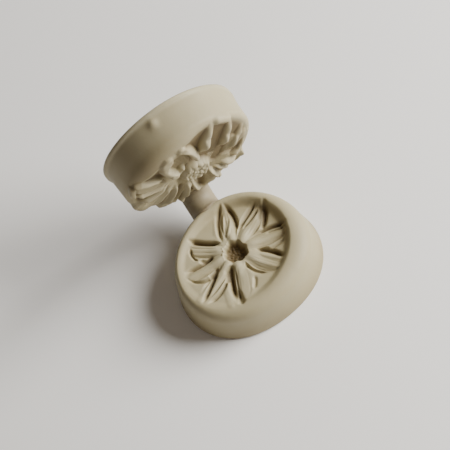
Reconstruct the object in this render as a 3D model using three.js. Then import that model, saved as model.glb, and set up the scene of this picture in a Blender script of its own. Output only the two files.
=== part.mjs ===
// Two part silicone flower veiner: a recess half and a relief half joined by a flexible link.
// Lengths are in millimetres and angles in degrees, +Z up.
// The recess half lies on its back, the flower axis is the Z axis and the link leaves towards +X.
// The relief half stands half folded over the recess, as it is held in use.
import * as THREE from 'three';

const rad = THREE.MathUtils.degToRad;

// Recess half
const RECESS_LAND = 8.3; // back face to the floor of the dish
const RIM_RISE = 0.85; // dish floor to the rim, on average
const RIM_LEAN = 0.65; // how much higher the rim stands on its high side
const RIM_HIGH_SIDE = 295.5;
const DISH_RADIUS = 11.2; // flower axis to the top of the rim
const DISH_SLOPE = 2.2; // width of the slope from the floor to the rim
const RIM_WIDTH = 3.2; // top of the rim to the widest line of the wall
const SHOULDER_SHARE = 0.62; // share of the rim width that the round shoulder takes
const SHOULDER_HEIGHT = 2.8;
const BACK_EDGE = 0.6; // round edge of the back face

// Relief half
const RELIEF_LAND = 7.3; // back face to the land round the raised flower
const RELIEF_BORDER = 2.5; // reach of the wall past the dish radius
const RELIEF_DRAFT = 0.5; // how much the wall draws in towards the face
const RELIEF_EDGE = 1.0; // round edge between the wall and the face
const BRIM_EDGE = 2.3; // the same where the brim is highest
const BRIM_RISE = 1.1; // how much higher the edge stands on the side away from the link
const BRIM_SIDE = 160;
const BRIM_SPAN = 34; // half the angle over which it does
const BRIM_WIDTH = 4.0; // slope from the land up to that edge
const LIP_REACH = 0.4; // thin lip round the back face
const LIP_HEIGHT = 0.9;

// The halves close on each other with room for the flower paste
const CLOSING_GAP = 0.65; // rim to land
const PASTE_GAP = 0.12; // least gap between the two faces

// Outlines are hand cast, so each is a circle with a few waves: count, cosine share, sine share
const DISH_WAVES = [[1, -0.3, 0.1], [2, -0.65, -0.65]];
const RECESS_WAVES = [[1, -0.7, -1.1], [2, -0.75, -0.4], [3, 0.3, 0.2]];
const RELIEF_WAVES = [[1, -1.15, -0.7], [3, 0.1, -0.25]];

// Link
const LINK_DIAMETER = 6.2;
const LINK_BELOW_RIM = 0.25; // top of the link under the rim of the recess half
const LINK_BELOW_LAND = 0.05; // top of the link under the land of the relief half
const LINK_SIDE = -0.3; // how far the link sits off the middle
const LINK_GAP = 0.3; // its ends to the walls
const LINK_CLEAR = [16, 34]; // angles over which the raised flower swells the wall again beside the link
const FOLD = 99; // 0 is flat open, 180 is face to face

// Pressed flower: petals are counted from the link, anticlockwise on the recess half.
// left and right are the depths of the two edge grooves, ribs are offsets of the raised veins.
const PETALS = [
  { angle: -17, tip: 10.3, half: 1.7, closed: 5.4, left: 1.1, right: 1.1, ribs: [0.4] },
  { angle: -58, tip: 11.3, half: 2.1, closed: 5.0, left: 1.1, right: 0.8, ribs: [] },
  { angle: -97, tip: 11.3, half: 2.0, closed: 4.6, left: 1.0, right: 0.7, ribs: [0.3] },
  { angle: -141, tip: 9.8, half: 2.6, closed: 3.4, left: 1.1, right: 0.8, ribs: [-0.9, 0.9] },
  { angle: 157, tip: 10.4, half: 2.1, closed: 2.9, left: 1.0, right: 1.3, ribs: [-1.0, 0.5] },
  { angle: 117, tip: 11.6, half: 1.5, closed: 4.4, left: 0.7, right: 1.2, ribs: [-0.3, 0.5] },
  { angle: 86.5, tip: 11.0, half: 1.6, closed: 3.4, left: 0.8, right: 0.8, ribs: [0.1] },
  { angle: 51, tip: 9.3, half: 1.9, closed: 2.6, left: 0.8, right: 1.3, ribs: [-0.7, 0.2, 1.0] },
];
const PETAL_ROOT = 2.3; // flower axis to where the petals begin
const PETAL_FLOOR = 0.5; // land to the floor of a petal
const GROOVE_WIDTH = 0.95;
const RIB_RISE = 0.3;
const RIB_WIDTH = 0.4;
const CREST_RADIUS = 3.5; // round petal roots about the pit
const CREST_WIDTH = 1.3;
const CREST_RISE = 0.35;
const PIT_RADIUS = 2.0;
const PIT_DEPTH = 1.5;
const PETAL_GROWTH = 3.2; // length over which a petal deepens from its root

// Raised flower: broad petals, and the rolled edges and cuts drawn over them
const RAISED_PETALS = [
  { angle: -17, tip: 13.2, half: 2.3, closed: 5.4, rise: 0.6 },
  { angle: -56, tip: 13.4, half: 2.6, closed: 5.0, rise: 0.5 },
  { angle: -95, tip: 13.2, half: 2.5, closed: 4.6, rise: 0.45 },
  { angle: -137, tip: 12.2, half: 2.7, closed: 3.4, rise: -0.5 },
  { angle: 164, tip: 11.6, half: 2.6, closed: 2.9, rise: 0.35 },
  { angle: 117, tip: 12.4, half: 2.3, closed: 3.4, rise: 0.8 },
  { angle: 76, tip: 13.0, half: 2.3, closed: 3.4, rise: 0.9 },
  { angle: 34, tip: 12.6, half: 2.3, closed: 2.6, rise: 0.7 },
];
const RAISED_EDGE = 0.9; // width of the slope beside a raised petal
const HEART = [0.5, -1.2]; // middle of the stamens
const HEART_RADIUS = 3.0;
const HEART_RISE = 1.3;

// Each curve runs from its start past its middle to its end
const ROLLED_EDGES = [
  [[-12.2, 1.2], [-11.3, -1.4], [-5.4, -1.8], 0.95, 2, 0.2, 0],
  [[-10.6, 2.4], [-9.6, 6.2], [-3.7, 3.2], 1.15, 2.1, 0.2, 0],
  [[-4.2, 3.3], [-2.6, 2.4], [-4, 1.2], 0.75, 1.8, 0, 0],
  [[-12, -7.6], [-8.7, -6.1], [-3.5, -3.1], 0.85, 1.9, 0.3, 0.1],
  [[-11, -7.4], [-9.9, -8.4], [-8.9, -9.7], 1, 1.4, 0.3, 0.3],
  [[-9, -9.8], [-3.9, -9.8], [-0.3, -7.2], 0.9, 1.45, 0.35, 0.5],
  [[-5.2, -12.4], [0.8, -10.3], [1.2, -7.1], 0.95, 1.3, 0.4, 0.5],
  [[1.2, -12.4], [5.6, -11], [4, -7.9], 0.7, 1.25, 0.4, 0.4],
  [[6.3, -11.4], [6.2, -9.2], [4.2, -5.6], 0.85, 1.6, 0.2, 0.3],
  [[9.2, -9], [6.9, -6.9], [4.3, -4.6], 0.55, 1.25, 0.4, 0.3],
  [[12.2, -6], [6.2, -4.2], [3.2, -3.6], 0.65, 1.6, 0.2, 0.2],
  [[12.4, -3.8], [11.8, 0.3], [3.4, 0.3], 0.7, 1.5, 0.2, 0.2],
  [[12, -6], [12.7, -5], [12.4, -3.6], 0.6, 1.2, 0.1, 0.1],
  [[11, 4.2], [9.6, 1.2], [3, 1], 0.8, 1.6, 0.2, 0.2],
  [[7.8, 7.6], [6, 4], [1.2, 3.2], 0.7, 1.4, 0.3, 0.2],
  [[4.9, 10.2], [3.2, 6.2], [0.3, 3.8], 0.65, 1.25, 0.4, 0.3],
  [[0.2, 11.8], [0.8, 7.6], [-1.2, 4.1], 0.65, 1.35, 0.3, 0.3],
  [[-3, 11.6], [-1, 8.2], [-1.5, 4.3], 0.6, 1.3, 0.2, 0.3],
  [[-6.6, 10.9], [-7.6, 8.5], [-2.5, 4.5], 0.6, 1.25, 0.1, 0.3],
  [[-6.6, 10.9], [-5.2, 11.7], [-3, 11.5], 0.55, 1.1, 0.1, 0.1],
];
const CUTS = [
  [[-10.2, 5.3], [-5.6, 6.1], [-1.8, 5.2], 0.6, 1.2, 0.1, 0.3],
  [[-11, -5.4], [-7.3, -4.5], [-4.3, -2.9], 0.7, 1, 0.3, 0.1],
  [[-9.6, -8], [-5.4, -6.4], [-2, -4.4], 1, 0.8, 0.2, 0.1],
  [[2.4, -12], [5.5, -11.2], [3.4, -8.2], 0.45, 0.6, 0.25, 0.25],
  [[-1.4, 11], [-0.6, 7.6], [-1.6, 5], 0.45, 0.9, 0.25, 0.25],
  [[2.6, 10.6], [2.2, 7.2], [-0.2, 4.6], 0.45, 0.6, 0.25, 0.25],
  [[9.4, 6.2], [7.4, 3.2], [2.6, 2.2], 0.6, 0.9, 0.25, 0.25],
  [[10.6, -1.2], [8, -1.9], [4.6, -1.6], 0.7, 0.7, 0.25, 0.25],
];
const LINE_STEPS = 16; // straight pieces of a drawn line
const BLEND = 9; // sharpness of the join where a form meets the room that is left for it

// Faceting: the lines of a face run along the petals, at shares of a petal's half width,
// and along the valleys between them, at shares of a valley's width
const PETAL_LINES = [-1, -0.76, -0.48, -0.22, 0, 0.22, 0.48, 0.76, 1];
const VALLEY_LINES = [0.22, 0.5, 0.78];
const LINES_PER_PETAL = PETAL_LINES.length + VALLEY_LINES.length;
const RECESS_SEGMENTS = PETALS.length * LINES_PER_PETAL;
const WIDEST_SHARE = 0.42; // of the angle up to the next petal, for half a petal
const RECESS_RINGS = 24;
const RELIEF_SEGMENTS = 120;
const RELIEF_RINGS = 26;
const LINK_SEGMENTS = 20;
const LINK_STEPS = 10;

const smooth = (low, high, value) => THREE.MathUtils.smoothstep(value, low, high);

function wavyRadius(mean, waves, angle) {
  let radius = mean;
  for (const [count, cosine, sine] of waves) {
    radius += cosine * Math.cos(count * angle) + sine * Math.sin(count * angle);
  }
  return radius;
}

const rimRadius = (angle) => wavyRadius(DISH_RADIUS, DISH_WAVES, angle);
const rimRise = (angle) => RIM_RISE + RIM_LEAN * Math.cos(angle - rad(RIM_HIGH_SIDE));
const rimHeight = (angle) => RECESS_LAND + rimRise(angle);
const recessBackRadius = (angle) => wavyRadius(DISH_RADIUS + RIM_WIDTH, RECESS_WAVES, angle);
const HIGHEST_RIM = RECESS_LAND + RIM_RISE + RIM_LEAN;
const FULL_ROOM = HIGHEST_RIM - RECESS_LAND + CLOSING_GAP - PASTE_GAP;

// How much of its half width a petal has grown to at a distance from the flower axis
function swell(petal, along) {
  const grown = THREE.MathUtils.clamp(2 * (along - PETAL_ROOT) / (petal.tip - PETAL_ROOT), 0, 1);
  return 0.6 + 0.4 * Math.sin(0.5 * Math.PI * grown);
}

// Place of a point along and across a petal, with its distance inside the petal's edge,
// which runs straight out and closes in a round arch over the length closed
function alongPetal(petal, x, y) {
  const turn = rad(petal.angle);
  const along = x * Math.cos(turn) + y * Math.sin(turn);
  const across = y * Math.cos(turn) - x * Math.sin(turn);
  const halfWidth = petal.half * swell(petal, along);
  const closing = Math.max(0, 1 - (petal.tip - along) / petal.closed);
  const outwards = (Math.abs(across / halfWidth) ** 2.5 + closing ** 2.5) ** 0.4;
  return { along, across, halfWidth, inside: halfWidth * (1 - outwards) };
}

// How deep one petal is pressed at a point: a floor with raised ribs between two edge grooves
function petalDepth(petal, x, y) {
  const { along, across, halfWidth, inside } = alongPetal(petal, x, y);
  const grow = smooth(PETAL_ROOT, PETAL_ROOT + PETAL_GROWTH, along);
  const grooveDepth = across > 0 ? petal.left : petal.right;
  const outer = smooth(-0.1, 0.45 * GROOVE_WIDTH, inside);
  const inner = smooth(0.45 * GROOVE_WIDTH, GROOVE_WIDTH, inside);
  let depth = outer * (grooveDepth + (PETAL_FLOOR - grooveDepth) * inner);
  for (const offset of petal.ribs) {
    const away = (across - offset * (halfWidth / petal.half)) / RIB_WIDTH;
    depth -= RIB_RISE * inner * Math.exp(-away * away);
  }
  return grow * depth;
}

// Height of the recess half over its back without its flower, inside the rim and on the shoulder
function recessPlain(x, y) {
  const angle = Math.atan2(y, x);
  const rim = rimRadius(angle);
  const outside = Math.hypot(x, y) - rim;
  if (outside < 0) {
    return RECESS_LAND + rimRise(angle) * smooth(-DISH_SLOPE, 0, outside);
  }
  const shoulder = SHOULDER_SHARE * (recessBackRadius(angle) - rim);
  const over = Math.min(1, outside / shoulder);
  return rimHeight(angle) - SHOULDER_HEIGHT * (1 - Math.sqrt(1 - over * over));
}

// Height of the recess face over its back at a point inside the rim
function recessFace(x, y) {
  const radius = Math.hypot(x, y);
  const crest = CREST_RISE * Math.exp(-(((radius - CREST_RADIUS) / CREST_WIDTH) ** 2));
  const pit = PIT_DEPTH * (1 - smooth(PIT_RADIUS - 0.6, PIT_RADIUS + 0.5, radius));
  const petals = Math.max(...PETALS.map((petal) => petalDepth(petal, x, y)));
  return recessPlain(x, y) + crest - pit - petals;
}

// Angle at which a line of the face crosses a radius
const ordered = [...PETALS].sort((one, other) => one.angle - other.angle);

function halfPetalAngle(petal, radius, room) {
  return Math.min(petal.half * swell(petal, radius) / radius, WIDEST_SHARE * room);
}

function lineAngle(line, radius) {
  const index = Math.floor(line / LINES_PER_PETAL);
  const place = line % LINES_PER_PETAL;
  const petal = ordered[index];
  const turnTo = (other) => (rad(other.angle - petal.angle) + 4 * Math.PI) % (2 * Math.PI);
  const next = ordered[(index + 1) % ordered.length];
  const before = ordered[(index + ordered.length - 1) % ordered.length];
  const room = turnTo(next);
  const half = halfPetalAngle(petal, radius, room);
  if (place >= PETAL_LINES.length) {
    const valley = room - half - halfPetalAngle(next, radius, room);
    return rad(petal.angle) + half + VALLEY_LINES[place - PETAL_LINES.length] * valley;
  }
  const behind = halfPetalAngle(petal, radius, 2 * Math.PI - turnTo(before));
  const share = PETAL_LINES[place];
  return rad(petal.angle) + share * (share < 0 ? behind : half);
}

// Radius of each half's wall at a height over its back face
function roundBackEdge(height) {
  const below = Math.max(0, BACK_EDGE - height);
  return BACK_EDGE - Math.sqrt(BACK_EDGE ** 2 - below ** 2);
}

function recessWall(angle, height) {
  const rim = rimRadius(angle);
  const back = recessBackRadius(angle);
  const shoulder = rim + SHOULDER_SHARE * (back - rim);
  const foot = rimHeight(angle) - SHOULDER_HEIGHT;
  if (height <= foot) {
    return back + (shoulder - back) * (height / foot) - roundBackEdge(height);
  }
  const rise = Math.min(1, (height - foot) / SHOULDER_HEIGHT);
  return rim + (shoulder - rim) * Math.sqrt(1 - rise * rise);
}

// The relief half's wall under its round edge
function reliefSide(angle, height) {
  const back = wavyRadius(DISH_RADIUS + RELIEF_BORDER, RELIEF_WAVES, angle);
  const lip = LIP_REACH * (1 - smooth(0.5 * LIP_HEIGHT, LIP_HEIGHT, height));
  return back - RELIEF_DRAFT * (height / RELIEF_LAND) + lip;
}

const fromSide = (angle, side) => Math.abs(THREE.MathUtils.euclideanModulo(angle - rad(side) + Math.PI, 2 * Math.PI) - Math.PI);
const brim = (angle) => BRIM_RISE * Math.exp(-((fromSide(angle, BRIM_SIDE) / rad(BRIM_SPAN)) ** 4));
const reliefEdgeHeight = (angle) => RELIEF_LAND + brim(angle);
const edgeRound = (angle) => RELIEF_EDGE + (BRIM_EDGE - RELIEF_EDGE) * brim(angle) / BRIM_RISE;
const reliefFaceRadius = (angle) => reliefSide(angle, reliefEdgeHeight(angle)) - edgeRound(angle);

function reliefWall(angle, height) {
  const edge = edgeRound(angle);
  const rise = THREE.MathUtils.clamp((height - reliefEdgeHeight(angle) + edge) / edge, 0, 1);
  return reliefSide(angle, height) - edge * (1 - Math.sqrt(1 - rise * rise));
}

// Height over the land of the brim's slope
function brimShare(x, y) {
  const angle = Math.atan2(y, x);
  return brim(angle) * smooth(-BRIM_WIDTH, 0, Math.hypot(x, y) - reliefFaceRadius(angle));
}

// Lines drawn on the relief half, with how far each has tapered where a point lies nearest to it
function drawnLine([start, middle, end, width, rise, startTaper, endTaper]) {
  const corners = [start, middle, end].map(([x, y]) => new THREE.Vector2(x, y));
  const points = new THREE.QuadraticBezierCurve(...corners).getPoints(LINE_STEPS);
  return { points, width, rise, startTaper, endTaper };
}

function nearLine({ points, startTaper, endTaper }, x, y) {
  let away = Infinity;
  let share = 0;
  for (let step = 0; step < LINE_STEPS; step += 1) {
    const run = points[step + 1].clone().sub(points[step]);
    const reach = new THREE.Vector2(x, y).sub(points[step]);
    const local = THREE.MathUtils.clamp(reach.dot(run) / run.lengthSq(), 0, 1);
    const distance = reach.addScaledVector(run, -local).length();
    if (distance < away) {
      away = distance;
      share = (step + local) / LINE_STEPS;
    }
  }
  const opened = smooth(0, startTaper + 0.02, share + 0.02) * smooth(0, endTaper + 0.02, 1.02 - share);
  return { away, opened };
}

// A rolled edge is round in section and a cut is a soft groove
function rolledHeight(line, x, y) {
  const { away, opened } = nearLine(line, x, y);
  const share = away / (line.width * (0.55 + 0.45 * opened));
  return line.rise * opened * Math.max(0, 1 - share * share) ** 0.8;
}

function cutDepth(line, x, y) {
  const { away, opened } = nearLine(line, x, y);
  const share = away / (line.width * (0.55 + 0.45 * opened));
  return line.rise * opened * Math.exp(-share * share);
}

const rolledEdges = ROLLED_EDGES.map(drawnLine);
const cuts = CUTS.map(drawnLine);

// Height of the raised flower over the land, where the closed recess half leaves room for it
function raisedFlower(x, y) {
  const petals = RAISED_PETALS.map((petal) => {
    const { along, inside } = alongPetal(petal, x, y);
    return petal.rise * smooth(-RAISED_EDGE / 3, (2 * RAISED_EDGE) / 3, inside)
      * smooth(PETAL_ROOT - 0.8, PETAL_ROOT + 1.5, along);
  });
  const floor = Math.max(0, ...petals) + Math.min(0, ...petals);
  const room = HIGHEST_RIM + CLOSING_GAP - PASTE_GAP - recessPlain(x, y) - brimShare(x, y);
  const share = THREE.MathUtils.clamp(room / FULL_ROOM, 0, 1);
  let rolled = 0;
  for (const line of rolledEdges) {
    const height = share * rolledHeight(line, x, y);
    rolled = Math.max(rolled, height, 0.8 * (rolled + height));
  }
  const cut = Math.max(...cuts.map((line) => cutDepth(line, x, y)));
  const base = floor - cut * (1 - THREE.MathUtils.clamp(rolled / 0.7, 0, 1));
  const out = Math.hypot(x - HEART[0], y - HEART[1]);
  const heart = HEART_RISE * (1 - smooth(HEART_RADIUS - 0.6, HEART_RADIUS + 0.6, out));
  const bed = Math.max(base, base * smooth(0.5 * HEART_RADIUS, HEART_RADIUS + 1, out) + heart);
  const full = Math.max(bed, rolled) + 0.3 * THREE.MathUtils.clamp(Math.min(bed, rolled), 0, 1);
  return -Math.log(Math.exp(-BLEND * full) + Math.exp(-BLEND * room)) / BLEND;
}

const reliefFace = (x, y) => RELIEF_LAND + brimShare(x, y) + raisedFlower(x, y);
const awayFromLink = (angle) => smooth(rad(LINK_CLEAR[0]), rad(LINK_CLEAR[1]), fromSide(angle, 0));

// Both halves are turned shapes whose profile runs from the middle of the back face,
// up the wall and over the face to its middle. A station gives one ring of the profile.
const rimAngle = (line) => lineAngle(line, DISH_RADIUS);

const evenAngle = (line) => (2 * Math.PI * line) / RELIEF_SEGMENTS;

function backStation(share, angleOf, wall) {
  return (line) => {
    const angle = angleOf(line);
    return { angle, radius: share * wall(angle, 0), height: 0 };
  };
}

function wallStation(angleOf, wall, heightAt) {
  return (line) => {
    const angle = angleOf(line);
    const height = heightAt(angle);
    return { angle, radius: wall(angle, height), height };
  };
}


function recessStations() {
  const stations = [0, 0.5].map((share) => backStation(share, rimAngle, recessWall));
  for (const height of [0, 0.25 * BACK_EDGE, BACK_EDGE, 0.5 * RECESS_LAND]) {
    stations.push(wallStation(rimAngle, recessWall, () => height));
  }
  for (const share of [0, 0.35, 0.65, 0.87]) {
    const below = SHOULDER_HEIGHT * (1 - share);
    stations.push(wallStation(rimAngle, recessWall, (angle) => rimHeight(angle) - below));
  }
  for (let ring = RECESS_RINGS; ring >= 0; ring -= 1) {
    const share = ring / RECESS_RINGS;
    stations.push((line) => {
      const angle = lineAngle(line, share * rimRadius(rimAngle(line)));
      const radius = share * rimRadius(angle);
      return { angle, radius, height: recessFace(radius * Math.cos(angle), radius * Math.sin(angle)) };
    });
  }
  return stations;
}

// The rounded edge swells outwards where the raised petals run over it, but not at the link
function reliefEdge(angle, turn) {
  const edge = edgeRound(angle);
  const height = reliefEdgeHeight(angle) - edge * (1 - Math.sin(turn));
  const radius = reliefSide(angle, height) - edge * (1 - Math.cos(turn));
  const raised = raisedFlower(radius * Math.cos(angle), radius * Math.sin(angle));
  const swell = raised * smooth(0, 1.1, turn) * awayFromLink(angle);
  return { angle, radius: radius + swell * Math.cos(turn), height: height + swell * Math.sin(turn) };
}

function reliefStations() {
  const stations = [0, 0.5].map((share) => backStation(share, evenAngle, reliefWall));
  for (const height of [0, 0.5 * LIP_HEIGHT, LIP_HEIGHT, 0.5 * RELIEF_LAND]) {
    stations.push(wallStation(evenAngle, reliefWall, () => height));
  }
  for (const share of [0, 0.25, 0.5, 0.75]) {
    stations.push((line) => reliefEdge(evenAngle(line), 0.5 * Math.PI * share));
  }
  for (let ring = RELIEF_RINGS; ring >= 0; ring -= 1) {
    const share = ring / RELIEF_RINGS;
    stations.push((line) => {
      const angle = evenAngle(line);
      const radius = share * reliefFaceRadius(angle);
      return { angle, radius, height: reliefFace(radius * Math.cos(angle), radius * Math.sin(angle)) };
    });
  }
  return stations;
}

// side is 1 where the pattern is laid as it is and -1 where it is the mirror print,
// which turns the pattern's link direction away from the half's own +X
function turnedHalf(stations, segments, side) {
  const profile = stations.map((station, index) => new THREE.Vector2(1, index));
  const geometry = new THREE.LatheGeometry(profile, segments);
  const position = geometry.attributes.position;
  for (let step = 0; step <= segments; step += 1) {
    const line = (side * step + segments) % segments;
    stations.forEach((station, index) => {
      const { angle, radius, height } = station(line);
      const x = side * radius * Math.cos(angle);
      const y = radius * Math.sin(angle);
      position.setXYZ(step * stations.length + index, x, y, height);
    });
  }
  geometry.deleteAttribute('uv');
  geometry.computeVertexNormals();
  return geometry;
}

// The link lies level with its top just under the rim, and under the land of the other half
const LINK_RADIUS = LINK_DIAMETER / 2;
const RECESS_LINK_HEIGHT = rimHeight(0) - LINK_BELOW_RIM - LINK_RADIUS;
const RELIEF_LINK_HEIGHT = RELIEF_LAND - LINK_BELOW_LAND - LINK_RADIUS;
const recessReach = recessWall(0, RECESS_LINK_HEIGHT);
const reliefReach = reliefWall(0, RELIEF_LINK_HEIGHT);
const HINGE_REACH = Math.max(recessReach, reliefReach);

// Distance between the two bends, so that the halves meet with the closing gap
const CLOSED_BACKS = HIGHEST_RIM + RELIEF_LAND + CLOSING_GAP;
const HINGE_SPACING = CLOSED_BACKS - RECESS_LINK_HEIGHT - RELIEF_LINK_HEIGHT;

// Directions in the fold plane: along the link's chord, and out along the relief half
const fold = rad(FOLD);
const chord = new THREE.Vector3(Math.cos(fold / 2), 0, Math.sin(fold / 2));
const outward = new THREE.Vector3(Math.cos(fold), 0, Math.sin(fold));
const reliefUp = new THREE.Vector3(-Math.sin(fold), 0, Math.cos(fold));
const nearHinge = new THREE.Vector3(HINGE_REACH, 0, RECESS_LINK_HEIGHT);
const farHinge = nearHinge.clone().addScaledVector(chord, HINGE_SPACING);

// Distance from the flower axis to a wall, beside the link's own axis and at a height
function reachAt(wall, side, height) {
  let reach = HINGE_REACH;
  for (let pass = 0; pass < 8; pass += 1) {
    const radius = wall(Math.atan2(side, reach), height);
    reach = Math.sqrt(radius ** 2 - side ** 2);
  }
  return reach;
}

// The link bends in one round arc between the two hinges and runs straight past them
const BEND_RADIUS = HINGE_SPACING / (2 * Math.sin(fold / 2));
const BEND_LENGTH = BEND_RADIUS * fold;

function linkPoint(distance, up, side) {
  const turned = THREE.MathUtils.clamp(distance / BEND_RADIUS, 0, fold);
  const past = distance - turned * BEND_RADIUS;
  const inward = BEND_RADIUS - up;
  return new THREE.Vector3(
    nearHinge.x + inward * Math.sin(turned) + past * Math.cos(turned),
    LINK_SIDE + side,
    nearHinge.z + BEND_RADIUS - inward * Math.cos(turned) + past * Math.sin(turned),
  );
}

// A turned rod of length 1 whose ends follow the round walls of the halves once it is bent
function linkGeometry() {
  const endShares = [0, 0.4, 0.75];
  const profile = endShares.map((share) => new THREE.Vector2(share * LINK_RADIUS, 0));
  for (let step = 0; step <= LINK_STEPS; step += 1) {
    profile.push(new THREE.Vector2(LINK_RADIUS, step / LINK_STEPS));
  }
  for (const share of [...endShares].reverse()) {
    profile.push(new THREE.Vector2(share * LINK_RADIUS, 1));
  }
  const geometry = new THREE.LatheGeometry(profile, LINK_SEGMENTS);
  const position = geometry.attributes.position;
  for (let index = 0; index < position.count; index += 1) {
    const up = position.getX(index);
    const side = position.getZ(index);
    const share = position.getY(index);
    const fromRecess = reachAt(recessWall, LINK_SIDE + side, RECESS_LINK_HEIGHT + up);
    const fromRelief = reachAt(reliefWall, LINK_SIDE + side, RELIEF_LINK_HEIGHT + up);
    const start = fromRecess + LINK_GAP - HINGE_REACH;
    const end = BEND_LENGTH - (fromRelief + LINK_GAP - HINGE_REACH);
    const place = linkPoint(start + share * (end - start), up, side);
    position.setXYZ(index, place.x, place.y, place.z);
  }
  geometry.deleteAttribute('uv');
  geometry.computeVertexNormals();
  return geometry;
}

const silicone = (color) => new THREE.MeshStandardMaterial({ color, roughness: 0.62, metalness: 0 });

function namedMesh(name, geometry, color) {
  const mesh = new THREE.Mesh(geometry, silicone(color));
  mesh.name = name;
  return mesh;
}

const veiner = new THREE.Group();

const recessHalf = namedMesh('recess_half', turnedHalf(recessStations(), RECESS_SEGMENTS, 1), 0xc2bda2);
veiner.add(recessHalf);

const linkRod = namedMesh('link_rod', linkGeometry(), 0xb9a995);
veiner.add(linkRod);

const reliefHalf = namedMesh('relief_half', turnedHalf(reliefStations(), RELIEF_SEGMENTS, -1), 0xc4bfa6);
reliefHalf.rotation.y = -fold;
reliefHalf.position.copy(farHinge)
  .addScaledVector(outward, HINGE_REACH)
  .addScaledVector(reliefUp, -RELIEF_LINK_HEIGHT);
veiner.add(reliefHalf);

export default veiner;
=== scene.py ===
"""Blender model of a flower veiner: two cast silicone halves joined by a flexible link.

Sizes are in millimetres while a piece is shaped and in metres once it is placed.
The recess half lies on its back with the flower axis on Z, and the link leaves towards +X.
"""

from __future__ import annotations

import logging
import math
from dataclasses import dataclass, field
from enum import Enum
from typing import Callable, Sequence

import bmesh
import bpy
import numpy as np
from mathutils import Matrix, Vector

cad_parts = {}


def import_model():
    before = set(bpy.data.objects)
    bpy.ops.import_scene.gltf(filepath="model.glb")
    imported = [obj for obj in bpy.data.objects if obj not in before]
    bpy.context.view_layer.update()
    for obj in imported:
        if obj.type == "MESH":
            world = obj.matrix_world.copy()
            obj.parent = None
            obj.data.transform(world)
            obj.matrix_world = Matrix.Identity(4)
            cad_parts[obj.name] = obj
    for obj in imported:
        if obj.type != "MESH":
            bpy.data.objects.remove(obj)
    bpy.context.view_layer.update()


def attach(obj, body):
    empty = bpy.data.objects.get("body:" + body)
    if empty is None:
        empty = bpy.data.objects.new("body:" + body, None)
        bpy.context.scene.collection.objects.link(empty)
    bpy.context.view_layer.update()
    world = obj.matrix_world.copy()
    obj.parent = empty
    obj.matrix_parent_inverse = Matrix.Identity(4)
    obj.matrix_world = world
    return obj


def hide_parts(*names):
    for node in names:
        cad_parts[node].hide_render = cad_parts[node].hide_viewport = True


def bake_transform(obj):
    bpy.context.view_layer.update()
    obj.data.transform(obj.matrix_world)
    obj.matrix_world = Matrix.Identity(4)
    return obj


LOG = logging.getLogger("flower_veiner")

MM = 0.001
# Name of the point attribute that paints shade into hollows and creases, and highlight onto crests
# and lips.
SHADING_ATTRIBUTE = "painted_shading"
PLAIN_SHADE = 0.25  # value of the painted shading on the plain outside of a piece: 0 paints the crest highlight, 1 the shade of the hollows
FLAT_SHARE = 1e-4  # how far off a flat of the plain puck a point may lie and still be on it

Array = np.ndarray
Number = float | Array
Point = tuple[float, float]
Color = tuple[float, float, float]
Pair = tuple[Array, Array]


def part(low: float, high: float, value: Number) -> Number:
    """Share of the way from low to high that a value has come, held between 0 and 1."""
    return np.clip((value - low) / (high - low), 0.0, 1.0)


def smooth(low: float, high: float, value: Number) -> Number:
    """Eases from 0 to 1 while a value goes from low to high."""
    share = part(low, high, value)
    return share * share * (3.0 - 2.0 * share)


def quarter(low: float, high: float, value: Number) -> Number:
    """Turns from 0 to a right angle while a value goes from low to high."""
    return 0.5 * math.pi * part(low, high, value)


def ridge(away: Number, width: float, power: int = 2) -> Number:
    """A soft bump of height 1 that fades at about its width, and faster at a high power."""
    return np.exp(-((away / width) ** power))


def flat(angle: Array, radius: Array) -> Pair:
    """How far points lie from the flower axis towards the link, and to the left of that."""
    return radius * np.cos(angle), radius * np.sin(angle)


class Half(Enum):
    """Which print of the flower a half carries, with the way its pattern turns."""

    RECESS = 1
    RELIEF = -1


@dataclass(frozen=True)
class Outline:
    """A hand cast round outline: a circle with a few slow waves.

    Each wave is a count round the circle with its cosine part and its sine part.
    """

    mean: float
    waves: tuple[tuple[int, float, float], ...]

    def radius(self, angle: Number) -> Number:
        """Finds the radius of the outline.

        Args:
            angle: Angle from the link's direction, in radians.

        Returns:
            The radius at that angle.
        """
        radius = self.mean
        for count, cosine, sine in self.waves:
            radius = radius + cosine * np.cos(count * angle) + sine * np.sin(count * angle)
        return radius


@dataclass(frozen=True)
class Petal:
    """One petal of the impression, with its ribs."""

    angle: float  # degrees from the direction of the link
    tip: float
    half: float  # half of its full width
    closed: float  # length of the arch that closes it at the tip
    ribs: tuple[float, ...] = ()
    rib_rise: float = 0.2
    rib_width: float = 0.4
    deep: float = 1.0
    bend: float = 0.0

    ROOT = 2.3
    ROOT_WIDTH = 0.6
    LONGEST = 1.2
    ARCH = 2.5

    def place(self, x: Number, y: Number) -> tuple[Number, Number, Number, Number]:
        """Finds where points lie on the petal.

        Args:
            x: Distance from the flower axis towards the link.
            y: Distance to the left of that.

        Returns:
            Distance along the petal, distance across it, the half width there and the
            distance inside its edge, which closes in a round arch at the tip.
        """
        turn = math.radians(self.angle)
        along = x * math.cos(turn) + y * math.sin(turn)
        across = y * math.cos(turn) - x * math.sin(turn)
        grown = np.clip((along - self.ROOT) / (self.tip - self.ROOT), 0.0, self.LONGEST)
        across = across - self.bend * grown**2
        swell = np.sin(0.5 * math.pi * np.minimum(1.0, 2.0 * grown))
        half = self.half * (self.ROOT_WIDTH + (1 - self.ROOT_WIDTH) * swell)
        closing = np.maximum(0.0, 1.0 - (self.tip - along) / self.closed)
        outwards = (np.abs(across / half) ** self.ARCH + closing**self.ARCH) ** (1 / self.ARCH)
        return along, across, half, half * (1.0 - outwards)

    def growth(self, along: Number, before: float, after: float) -> Number:
        """Eases the petal in, from a distance before its root to a distance after it."""
        return smooth(self.ROOT - before, self.ROOT + after, along)


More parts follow.
